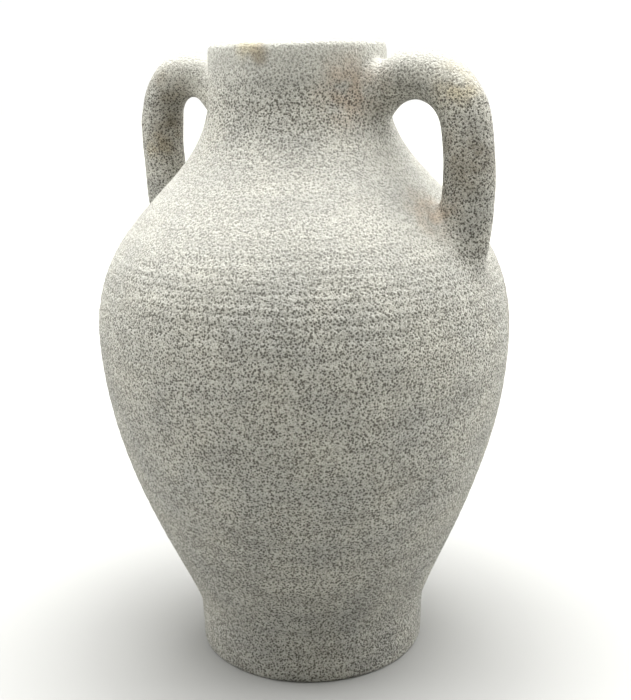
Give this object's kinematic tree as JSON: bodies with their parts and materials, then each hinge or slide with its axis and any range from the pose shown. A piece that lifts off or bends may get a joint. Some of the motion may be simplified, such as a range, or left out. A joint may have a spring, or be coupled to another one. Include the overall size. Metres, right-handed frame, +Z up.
{
  "type": "amphora",
  "caption": "Stoneware amphora vase with a swelling body, a short plain neck, a slightly waisted foot and an arched handle on each side.",
  "frame": {"origin": "centre of the foot's underside, on the surface that the vase stands on", "axes": "+Z up along the axis of the vessel; +X through the middle of one handle and -X through the other; +Y to the plain back"},
  "size_m": [0.267, 0.267, 0.4],
  "materials": {
    "stoneware": "dry matt, dark iron speckle, slightly gritty",
    "handle_stoneware": "dry matt, dark iron speckle, hand rolled and uneven",
    "joint_clay": "dry matt, speckled, wiped smooth, faint ochre stain"
  },
  "bodies": {
    "root": {"base_slab": "stoneware", "lower_wall": "stoneware", "shoulder": "stoneware", "neck": "stoneware", "handle_right": "handle_stoneware", "handle_left": "handle_stoneware", "upper_joint_right": "joint_clay", "upper_joint_left": "joint_clay", "lower_joint_right": "joint_clay", "lower_joint_left": "joint_clay"}
  },
  "joints": []
}
